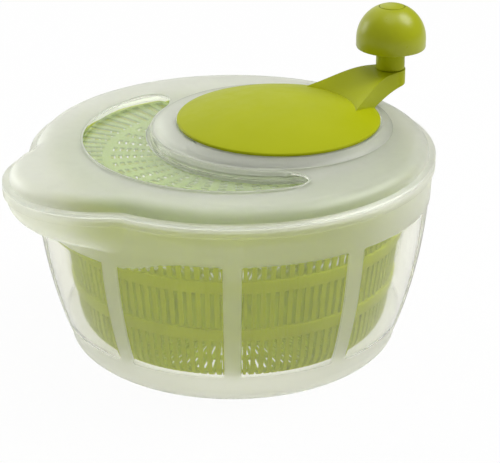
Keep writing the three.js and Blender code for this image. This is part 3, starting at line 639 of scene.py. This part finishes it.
def lid_body():
    """The lid, with the crescent window's tray and the gear well, its boss and its bores."""
    obj = lid_crown()
    pane_top = LID_TOP - PANE_DROP
    inner_top, above = LID_TOP - 0.5 * MM, LID_TOP + 1 * MM
    floor_top, below = RIM_TOP + WELL_FLOOR, RIM_TOP - 1 * MM
    hollow_r = WELL_R - WELL_WALL
    flared = [(r + WELL_FLARE, z) for r, z in well_corner(0)]
    wall = [(WELL_R, pane_top - 0.3 * MM), (WELL_R, inner_top)]
    well = lathe("well", [(0, RIM_TOP)] + flared + wall + [(0, inner_top)], WELL_X, DISC_SEGMENTS)
    hollow = lathe("hollow", [(0, floor_top)] + well_corner(WELL_WALL) + [(hollow_r, above), (0, above)],
                   WELL_X, DISC_SEGMENTS)
    tray = prism("tray", window_outline(LID_WALL), pane_top - LID_WALL, inner_top)
    window = prism("window", window_outline(0), pane_top, above)
    boss = disc_between("boss", AXLE_BOSS_R, RIM_TOP + 0.5 * MM, floor_top + AXLE_BOSS_HEIGHT, CRANK_X, 64)
    axle_bore = disc_between("bore", AXLE_BORE_R, below, LID_TOP, CRANK_X, 48)
    bush_bore = disc_between("bore", BUSH_BORE_R, below, LID_TOP, 0, 48)
    for other, operation in ((well, "UNION"), (tray, "UNION"), (hollow, "DIFFERENCE"), (window, "DIFFERENCE"),
                             (boss, "UNION"), (axle_bore, "DIFFERENCE"), (bush_bore, "DIFFERENCE")):
        boolean(obj, other, operation)
    return obj


def mark_clear(obj):
    """Gives the polished part of the lid, its crescent window, the clear material."""
    mesh = obj.data
    place_of = np.zeros(len(mesh.vertices) * 3)
    mesh.vertices.foreach_get("co", place_of)
    x, y, z = place_of.reshape(-1, 3).T
    tray_low = LID_TOP - PANE_DROP - LID_WALL
    in_window = inside_outline(window_outline(LID_WALL + 0.3 * MM), x, y)
    tray = in_window & (z > tray_low - 0.3 * MM)
    flare = (np.hypot(x - WELL_X, y) < WELL_R + WELL_FLARE + 0.2 * MM) & (z < tray_low + 0.1 * MM)
    upper = z > LID_TOP - 0.2 * MM
    for face in mesh.polygons:
        corners = list(face.vertices)
        rest = upper[corners].all() or flare[corners].all()
        face.material_index = int(tray[corners].all() and not rest)


def window_bead():
    """Rounded lip round the crescent window, standing a little above the lid's top."""
    outline = np.array(window_outline(0.2 * MM))
    after = np.roll(outline, -1, 0) - np.roll(outline, 1, 0)
    normal = np.stack([after[:, 1], -after[:, 0]], 1)
    normal /= np.linalg.norm(normal, axis=1)[:, None]
    half_width, half_height = LIP_SECTION
    sides = 10
    rings = []
    for k in range(sides):
        a = 2 * math.pi * k / sides
        z = LID_TOP + 0.05 * MM + half_height * math.sin(a)
        p = outline + normal * half_width * math.cos(a)
        rings.append(np.column_stack([p, np.full(len(p), z)]))
    return skin("lid_window_lip", rings, closed=True, sharp=80)


def bezel():
    """Ring round the crank's disc. Its hole is centred on the crank and its edge on the gear well, and
    each point of its section lies between them by a share."""
    inner_r, outer_r = DISC_R + BEZEL_GAP, WELL_R - 0.6 * MM
    seat, top = LID_TOP + 0.3 * MM, DISC_LOW
    spigot_low = seat - 4 * MM
    edge = [(1.0, seat), (1.0, seat + 0.25 * MM), (0.985, seat + 0.75 * MM), (0.95, seat + 1.15 * MM)]
    crest = [(0.88, top - 1.0 * MM), (0.7, top - 0.45 * MM), (0.4, top - 0.12 * MM), (0.12, top)]
    hole = [(0.03, top - 0.15 * MM), (0.0, top - 0.6 * MM), (0.0, seat + 1.0 * MM)]
    spigot = [(0.8, spigot_low), (0.9, spigot_low), (0.9, seat)]
    under = [(0.25, seat + 0.3 * MM), (0.6, seat - 0.5 * MM)] + spigot
    rings = []
    for out, z in edge + crest + hole + under:
        r, x = inner_r + (outer_r - inner_r) * out, CRANK_X + (WELL_X - CRANK_X) * out
        rings.append(circle_ring(r, z, x, DISC_SEGMENTS))
    return skin("bezel", rings, closed=True, sharp=50)


# ---------------------------------------------------------------- crank

def dome_z(r):
    """Height of the dome's top, that far from the crank's axis."""
    return DISC_LOW + DISC_EDGE + DOME_HEIGHT * (1 - (r / DISC_R) ** 2)


def crank_dome():
    """The crank's domed disc, hollow underneath."""
    edge = DISC_R - 0.9 * MM
    edge_top = dome_z(edge)
    outer = [(r, dome_z(r)) for r in np.linspace(0, edge, 24)]
    rim = [(DISC_R - 0.35 * MM, edge_top - 0.25 * MM), (DISC_R, edge_top - 0.8 * MM),
           (DISC_R, DISC_LOW + 0.3 * MM), (DISC_R - 0.3 * MM, DISC_LOW)]
    inner_edge = DISC_R - DISC_WALL
    inner = [(inner_edge, DISC_LOW)] + [(r, dome_z(r) - DISC_WALL) for r in np.linspace(inner_edge, 0, 16)]
    return lathe("crank_dome", outer + rim + inner, CRANK_X, DISC_SEGMENTS)


def arm_top(r):
    """Height of the arm's top, which leaves the dome and levels out."""
    rise = np.sin(np.clip((r - ARM_ROOT_R) / ARM_RISE_LENGTH, 0, 1) * math.pi / 2)
    return dome_z(ARM_ROOT_R) + ARM_RISE * rise


def arm_under(r):
    reach = KNOB_X - CRANK_X + ARM_END_R + 3 * MM
    rise = np.sin(np.clip((r - DISC_R) / (reach - DISC_R), 0, 1) * math.pi / 2)
    low_z = DISC_LOW + DISC_EDGE
    return low_z + (arm_top(1.0) - ARM_DEPTH - low_z) * rise


def arm_point(s, t):
    """Plan position on the arm about the crank axis: s from the root's arc to the end, t across."""
    length = KNOB_X - CRANK_X
    along = math.sqrt(ARM_ROOT_R ** 2 - ARM_ROOT_HALF ** 2)
    bend_x = along + ARM_BEND * (length - along)
    side_x = (1 - s) ** 2 * along + 2 * s * (1 - s) * bend_x + s ** 2 * length
    side_y = (1 - s) ** 2 * ARM_ROOT_HALF + 2 * s * (1 - s) * ARM_WAIST + s ** 2 * ARM_END_R
    half = math.asin(ARM_ROOT_HALF / ARM_ROOT_R)
    root_x, root_y = ARM_ROOT_R * math.cos(half * t) - along, ARM_ROOT_R * math.sin(half * t)
    end_x, end_y = ARM_END_R * math.cos(math.pi / 2 * t), ARM_END_R * math.sin(math.pi / 2 * t)
    bulge = (1 - s) * root_x + s * end_x
    across = ((1 - s) * root_y / ARM_ROOT_HALF + s * end_y / ARM_END_R) * side_y
    return side_x + bulge, across


def arm_floor(r):
    """Height of the arm's underside: sunk in the dome near the root, free of the disc's edge beyond."""
    if r < DISC_R - 2.5 * MM:
        return dome_z(r) - 1.6 * MM
    return float(arm_under(r)) - 0.8 * MM * (r < DISC_R)


def crank_arm():
    """The arm: a tapering bar whose top rises from the dome and levels out under the knob."""
    rows, columns = 40, 24
    top, under = [], []
    for i in range(rows + 1):
        s = (i / rows) ** 0.9
        for j in range(columns + 1):
            t = -math.cos(math.pi * j / columns)
            x, y = arm_point(s, t)
            r = math.hypot(x, y)
            upper = float(arm_top(r)) - (0.6 * MM if i == 0 else 0)
            top.append((x + CRANK_X, y, upper))
            under.append((x + CRANK_X, y, min(arm_floor(r), upper - 0.8 * MM)))
    size = columns + 1
    offset = len(top)
    faces = []
    for i in range(rows):
        for j in range(columns):
            a, b, c, d = i * size + j, i * size + j + 1, (i + 1) * size + j + 1, (i + 1) * size + j
            faces += [(a, b, c, d), (offset + a, offset + d, offset + c, offset + b)]
    edge = [i * size for i in range(rows + 1)] + [rows * size + j for j in range(1, columns + 1)]
    edge += [i * size + columns for i in range(rows - 1, -1, -1)] + list(range(columns - 1, 0, -1))
    for a, b in zip(edge, edge[1:] + edge[:1]):
        faces.append((a, offset + a, offset + b, b))
    points = top + under
    obj = make("crank_arm", points, outward(points, faces), sharp=40)
    return bevel(obj, ARM_EDGE_R, 3, 55, 45)


def knob_crown(r):
    """Height of the knob's domed top."""
    skirt = low("knob_dome").z + KNOB_SKIRT
    crown = high("knob_plug").z - skirt
    return skirt + crown * math.sqrt(max(1 - (r / KNOB_R) ** 2, 0))


def knob_cap():
    """The mushroom knob, hollow over the pin's head."""
    bottom, top = low("knob_dome").z, high("knob_plug").z
    seam = PLUG_R + 0.3 * MM
    angles = np.linspace(math.pi / 2, math.asin(seam / KNOB_R), 26)
    curve = [(KNOB_R * math.sin(a), knob_crown(KNOB_R * math.sin(a))) for a in angles]
    dip = curve[-1][1] - 0.35 * MM
    curve = [p for p in curve if p[0] > seam + 0.35 * MM] + [(seam + 0.15 * MM, dip + 0.28 * MM), (seam, dip)]
    skirt = [(PIN_BORE_R, bottom), (KNOB_R - 1.2 * MM, bottom), (KNOB_R - 0.35 * MM, bottom + 0.35 * MM),
             (KNOB_R, bottom + 1.2 * MM)]
    bore = [(seam, top - 6.3 * MM), (PIN_HEAD_BORE_R, top - 6.3 * MM), (PIN_HEAD_BORE_R, bottom + 3.7 * MM),
            (PIN_BORE_R, bottom + 3.7 * MM)]
    return lathe("knob_cap", skirt + curve + bore, KNOB_X, 128)


def knob_seal():
    """Small cap that fills the hole in the knob's top."""
    edge, low_z = knob_crown(PLUG_R), low("knob_plug").z
    curve = [(r, knob_crown(r)) for r in np.linspace(0, PLUG_R - 0.4 * MM, 10)]
    side = [(PLUG_R - 0.1 * MM, edge - 0.3 * MM), (PLUG_R, edge - 0.8 * MM), (PLUG_R, low_z), (0, low_z)]
    return lathe("knob_seal", curve + side, KNOB_X, 96)


def knob_post():
    z0, z1 = low("knob_stem").z, high("knob_stem").z
    profile = [(PIN_BORE_R, z0), (STEM_R, z0), (STEM_R, z1), (PIN_BORE_R, z1)]
    return lathe("knob_post", rounded(profile, 0.5 * MM, skip=(0, 3)), KNOB_X, 96)


# ---------------------------------------------------------------- materials

def new_material(name):
    material = bpy.data.materials.new(name)
    material.use_nodes = True
    tree = material.node_tree
    tree.nodes.clear()
    output = tree.nodes.new("ShaderNodeOutputMaterial")
    return material, tree, output


def noise(tree, scale, detail=4.0, rough=0.6, stretch=(1, 1, 1)):
    """A noise texture in the piece's own coordinates."""
    place = tree.nodes.new("ShaderNodeTexCoord")
    mapping = tree.nodes.new("ShaderNodeMapping")
    mapping.inputs["Scale"].default_value = stretch
    texture = tree.nodes.new("ShaderNodeTexNoise")
    texture.inputs["Scale"].default_value = scale
    texture.inputs["Detail"].default_value = detail
    texture.inputs["Roughness"].default_value = rough
    tree.links.new(place.outputs["Object"], mapping.inputs["Vector"])
    tree.links.new(mapping.outputs["Vector"], texture.inputs["Vector"])
    return texture.outputs["Fac"]


def spread(tree, value, low_out, high_out):
    """The value, from about 0.3 to 0.7, mapped onto a range."""
    node = tree.nodes.new("ShaderNodeMapRange")
    node.inputs["From Min"].default_value, node.inputs["From Max"].default_value = 0.3, 0.7
    node.inputs["To Min"].default_value, node.inputs["To Max"].default_value = low_out, high_out
    tree.links.new(value, node.inputs["Value"])
    return node.outputs["Result"]


def bump(tree, height, strength, distance):
    node = tree.nodes.new("ShaderNodeBump")
    node.inputs["Strength"].default_value = strength
    node.inputs["Distance"].default_value = distance
    tree.links.new(height, node.inputs["Height"])
    return node.outputs["Normal"]


def two_tone(tree, value, first, second):
    node = tree.nodes.new("ShaderNodeMix")
    node.data_type = "RGBA"
    node.inputs[6].default_value, node.inputs[7].default_value = (*first, 1), (*second, 1)
    tree.links.new(value, node.inputs[0])
    return node.outputs[2]


def lerp(tree, factor, a, b):
    node = tree.nodes.new("ShaderNodeMapRange")
    node.inputs["To Min"].default_value, node.inputs["To Max"].default_value = a, b
    tree.links.new(factor, node.inputs["Value"])
    return node.outputs["Result"]


MILKY_SHADE = (0.88, 0.90, 0.85)  # colour of the light that frosted and clear plastic let through


def lets_light_in(tree, shader, tint):
    """The shader for every ray but those from lamps, which pass through it tinted."""
    path = tree.nodes.new("ShaderNodeLightPath")
    open_ = tree.nodes.new("ShaderNodeBsdfTransparent")
    open_.inputs["Color"].default_value = (*tint, 1)
    mix = tree.nodes.new("ShaderNodeMixShader")
    tree.links.new(path.outputs["Is Shadow Ray"], mix.inputs[0])
    tree.links.new(shader, mix.inputs[1])
    tree.links.new(open_.outputs[0], mix.inputs[2])
    return mix.outputs[0]


def frosted(name, dark, light, masked=False):
    """Milky polypropylene with a fine grain. A masked one turns clear where the mesh's mask says so."""
    material, tree, output = new_material(name)
    shader = tree.nodes.new("ShaderNodeBsdfPrincipled")
    cloud = spread(tree, noise(tree, 55), 0.0, 1.0)
    tree.links.new(two_tone(tree, cloud, dark, light), shader.inputs["Base Color"])
    rough = spread(tree, noise(tree, 160), 0.40, 0.50)
    shader.inputs["IOR"].default_value = 1.45
    shader.inputs["Specular IOR Level"].default_value = 0.3
    if masked:
        mask = tree.nodes.new("ShaderNodeAttribute")
        mask.attribute_name = "clear"
        clear = mask.outputs["Fac"]
        blend = tree.nodes.new("ShaderNodeMix")
        tree.links.new(clear, blend.inputs[0])
        tree.links.new(rough, blend.inputs[2])
        blend.inputs[3].default_value = 0.05
        tree.links.new(blend.outputs[0], shader.inputs["Roughness"])
        tree.links.new(lerp(tree, clear, 0.91, 0.985), shader.inputs["Transmission Weight"])
    else:
        tree.links.new(rough, shader.inputs["Roughness"])
        shader.inputs["Transmission Weight"].default_value = 0.88
        tree.links.new(bump(tree, noise(tree, 2600, 2.0), 0.12, 0.05 * MM), shader.inputs["Normal"])
    tree.links.new(lets_light_in(tree, shader.outputs[0], MILKY_SHADE), output.inputs["Surface"])
    return material


def clear_plastic():
    material, tree, output = new_material("clear_polypropylene")
    shader = tree.nodes.new("ShaderNodeBsdfPrincipled")
    shader.inputs["Base Color"].default_value = (0.93, 0.95, 0.91, 1)
    tree.links.new(spread(tree, noise(tree, 90), 0.02, 0.04), shader.inputs["Roughness"])
    shader.inputs["Transmission Weight"].default_value = 0.98
    shader.inputs["IOR"].default_value = 1.45
    tree.links.new(bump(tree, noise(tree, 40, 2.0), 0.06, 0.1 * MM), shader.inputs["Normal"])
    shader.inputs["Specular Tint"].default_value = (0.3, 0.3, 0.3, 1)
    tree.links.new(lets_light_in(tree, shader.outputs[0], MILKY_SHADE), output.inputs["Surface"])
    return material


def thin_green(name, dark, light, shade=(0, 0, 0)):
    """Green polypropylene, thin enough to glow where light comes through it."""
    material, tree, output = new_material(name)
    shader = tree.nodes.new("ShaderNodeBsdfPrincipled")
    glow = tree.nodes.new("ShaderNodeBsdfTranslucent")
    flow = spread(tree, noise(tree, 60, 3.0, 0.5, (1, 1, 0.35)), 0.0, 1.0)
    colour = two_tone(tree, flow, dark, light)
    tree.links.new(colour, shader.inputs["Base Color"])
    tree.links.new(colour, glow.inputs["Color"])
    tree.links.new(spread(tree, noise(tree, 200), 0.28, 0.40), shader.inputs["Roughness"])
    tree.links.new(bump(tree, noise(tree, 1500, 2.0), 0.08, 0.05 * MM), shader.inputs["Normal"])
    mix = tree.nodes.new("ShaderNodeMixShader")
    mix.inputs[0].default_value = 0.5
    tree.links.new(shader.outputs[0], mix.inputs[1])
    tree.links.new(glow.outputs[0], mix.inputs[2])
    shader.inputs["Specular IOR Level"].default_value = 0.08
    tree.links.new(lets_light_in(tree, mix.outputs[0], shade), output.inputs["Surface"])
    return material


def satin_plastic(name, dark, light, rough=(0.38, 0.48), sheen=0.13):
    """Opaque moulded plastic: a fine grain, faint flow marks in the colour, uneven sheen."""
    material, tree, output = new_material(name)
    shader = tree.nodes.new("ShaderNodeBsdfPrincipled")
    flow = spread(tree, noise(tree, 28, 5.0, 0.55), 0.0, 1.0)
    tree.links.new(two_tone(tree, flow, dark, light), shader.inputs["Base Color"])
    tree.links.new(spread(tree, noise(tree, 120), *rough), shader.inputs["Roughness"])
    tree.links.new(bump(tree, noise(tree, 1800, 3.0), 0.16, 0.06 * MM), shader.inputs["Normal"])
    shader.inputs["Specular IOR Level"].default_value = sheen
    tree.links.new(shader.outputs[0], output.inputs["Surface"])
    return material


def steel():
    material, tree, output = new_material("stainless_steel")
    shader = tree.nodes.new("ShaderNodeBsdfPrincipled")
    shader.inputs["Metallic"].default_value = 1.0
    brush = noise(tree, 900, 3.0, 0.6, (1, 1, 0.05))
    tree.links.new(two_tone(tree, spread(tree, brush, 0, 1), (0.55, 0.56, 0.57), (0.68, 0.69, 0.70)),
                   shader.inputs["Base Color"])
    tree.links.new(spread(tree, brush, 0.22, 0.38), shader.inputs["Roughness"])
    tree.links.new(bump(tree, brush, 0.2, 0.03 * MM), shader.inputs["Normal"])
    tree.links.new(shader.outputs[0], output.inputs["Surface"])
    return material


def paint(obj, *materials):
    obj.data.materials.clear()
    for material in materials:
        obj.data.materials.append(material)
    return obj


# ---------------------------------------------------------------- the pieces on their bodies

# Painted shade: this copy of the frosted plastic, used on the lid, its bead, its bezel and the bowl's boss,
# is darker than the bowl's copy of the same plastic, so that the lid's lamp-lit top comes out dimmer.
FROSTED_SHADED = frosted("frosted_polypropylene_shaded", (0.74, 0.745, 0.695), (0.78, 0.785, 0.735))
BOWL_PLASTIC = frosted("bowl_polypropylene", (0.92, 0.92, 0.85), (0.95, 0.95, 0.89), masked=True)
CLEAR = clear_plastic()
BASKET = thin_green("basket_green", (0.57, 0.62, 0.001), (0.62, 0.67, 0.003))
PLATE = thin_green("plate_green", (0.36, 0.46, 0.08), (0.41, 0.51, 0.10), (0.85, 0.9, 0.8))
GREEN = satin_plastic("green_satin", (0.385, 0.425, 0.001), (0.41, 0.45, 0.003))
# Painted shade: the knob's copy of the green plastic is darker than the crank's, which stands in for the
# shade on the knob's front. Its lower roughness and stronger sheen are its finish.
KNOB_GREEN_SHADED = satin_plastic("knob_green_shaded", (0.36, 0.395, 0.001), (0.385, 0.42, 0.003), (0.27, 0.35), 0.42)
NYLON = satin_plastic("white_nylon", (0.70, 0.69, 0.64), (0.76, 0.75, 0.71), (0.4, 0.55))
STEEL = steel()


def place(obj, body, slot, *cad):
    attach(obj, body)
    if cad:
        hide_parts(*cad)
    return obj


place(paint(bowl_shell(), BOWL_PLASTIC), "bowl", "frosted_plastic", "bowl")
place(paint(pivot_boss(), FROSTED_SHADED), "bowl", "frosted_plastic")
place(paint(basket_cage(), BASKET), "basket", "green_translucent", "basket")
place(paint(drive_plate(), PLATE), "drive", "green_translucent", "drive_plate")
lid = paint(lid_body(), FROSTED_SHADED, CLEAR)
mark_clear(lid)
place(lid, "lid", "frosted_plastic", "lid_shell")
place(paint(window_bead(), FROSTED_SHADED), "lid", "frosted_plastic")
place(paint(bezel(), FROSTED_SHADED), "lid", "frosted_plastic", "bezel_ring")
place(paint(crank_dome(), GREEN), "crank", "green_plastic", "crank_cover")
place(paint(crank_arm(), GREEN), "crank", "green_plastic")
place(paint(knob_cap(), KNOB_GREEN_SHADED), "knob", "green_plastic", "knob_dome")
place(paint(knob_seal(), KNOB_GREEN_SHADED), "knob", "green_plastic", "knob_plug")
place(paint(knob_post(), GREEN), "knob", "green_plastic", "knob_stem")

KEPT = {"steel": (STEEL, ["pivot_pin", "drive_screw", "crank_axle", "crank_washer", "crank_clip", "knob_pin",
                          "gear_screw_1", "gear_screw_2", "gear_screw_3"]),
        "nylon": (NYLON, ["pinion_bush", "pinion_gear", "thrust_washer", "ring_gear"]),
        "green_translucent": (PLATE, ["drive_hub"])}
for slot_name, (material, names) in KEPT.items():
    for node in names:
        paint(nodes[node], material)


# ---------------------------------------------------------------- stage, light and camera

def floor():
    """A plain white floor that glows a little, and more where it is seen directly or through plastic."""
    half = 12.0
    corners = [(-half, -half, 0), (half, -half, 0), (half, half, 0), (-half, half, 0)]
    mesh = bpy.data.meshes.new("studio_floor")
    mesh.from_pydata(corners, [], [(0, 1, 2, 3)])
    obj = bpy.data.objects.new("studio_floor", mesh)
    bpy.context.scene.collection.objects.link(obj)
    material, tree, output = new_material("studio_white")
    shader = tree.nodes.new("ShaderNodeBsdfPrincipled")
    shader.inputs["Base Color"].default_value = (0.84, 0.84, 0.84, 1)
    shader.inputs["Roughness"].default_value = 0.8
    shader.inputs["Specular IOR Level"].default_value = 0.2
    glow = tree.nodes.new("ShaderNodeEmission")
    glow.inputs["Strength"].default_value = 1.0
    path = tree.nodes.new("ShaderNodeLightPath")
    seen = tree.nodes.new("ShaderNodeMath")
    seen.operation = "MAXIMUM"
    tree.links.new(path.outputs["Is Camera Ray"], seen.inputs[0])
    tree.links.new(path.outputs["Is Transmission Ray"], seen.inputs[1])
    share = lerp(tree, seen.outputs[0], 0.55, 0.96)
    mix = tree.nodes.new("ShaderNodeMixShader")
    tree.links.new(share, mix.inputs[0])
    tree.links.new(shader.outputs[0], mix.inputs[1])
    tree.links.new(glow.outputs[0], mix.inputs[2])
    tree.links.new(mix.outputs[0], output.inputs["Surface"])
    paint(obj, material)


VIEW_TURN = math.radians(-31.5)  # how far the camera and its lamps are turned round the spinner
CAMERA_AT = (-0.00021, -1.09934, 0.55338)
CAMERA_PITCH = 0.412
CAMERA_YAW = 0.010
SENSOR_WIDTH = 36
LENS = 137.2896


def turned_point(x, y, z):
    """A place given as seen from the camera's side: x to the right, y away, z up."""
    c, s = math.cos(VIEW_TURN), math.sin(VIEW_TURN)
    return Vector((c * x - s * y, s * x + c * y, z))


def area_light(name, at, to, size, power):
    data = bpy.data.lights.new(name, "AREA")
    data.shape, data.size, data.energy = "DISK", size, power
    obj = bpy.data.objects.new(name, data)
    obj.location = turned_point(*at)
    direction = turned_point(*to) - obj.location
    obj.rotation_euler = direction.to_track_quat("-Z", "Y").to_euler()
    bpy.context.scene.collection.objects.link(obj)


def studio():
    """A white room, dimmer in reflections and brighter through the plastic, with four soft lamps."""
    world = bpy.data.worlds.new("studio")
    world.use_nodes = True
    tree = world.node_tree
    background = tree.nodes["Background"]
    background.inputs["Color"].default_value = (1.0, 1.0, 1.0, 1)
    path = tree.nodes.new("ShaderNodeLightPath")
    dim = lerp(tree, path.outputs["Is Glossy Ray"], 0.34, 0.2)
    through = tree.nodes.new("ShaderNodeMath")
    through.operation = "MULTIPLY_ADD"
    through.inputs[1].default_value = 0.7
    tree.links.new(path.outputs["Is Transmission Ray"], through.inputs[0])
    tree.links.new(dim, through.inputs[2])
    tree.links.new(through.outputs[0], background.inputs["Strength"])
    bpy.context.scene.world = world
    area_light("key", (0.85, 0.1, 1.2), (0.05, 0, 0.12), 0.8, 11)
    area_light("back", (-0.6, 1.1, 0.9), (0, 0, 0.1), 2.2, 8)
    area_light("top", (0.0, -0.1, 1.5), (0, 0, 0.1), 1.0, 4)
    area_light("rim", (-1.1, 0.7, 0.5), (0.1, 0, 0.17), 0.6, 3)
    bpy.context.scene.view_settings.view_transform = "Standard"


def camera():
    data = bpy.data.cameras.new("camera")
    data.sensor_width, data.lens = SENSOR_WIDTH, LENS
    data.clip_start, data.clip_end = 0.05, 60
    obj = bpy.data.objects.new("camera", data)
    level = math.cos(CAMERA_PITCH)
    ahead = (math.sin(CAMERA_YAW) * level, math.cos(CAMERA_YAW) * level, -math.sin(CAMERA_PITCH))
    obj.location = turned_point(*CAMERA_AT)
    obj.rotation_euler = turned_point(*ahead).to_track_quat("-Z", "Y").to_euler()
    bpy.context.scene.collection.objects.link(obj)
    bpy.context.scene.camera = obj


floor()
studio()
camera()
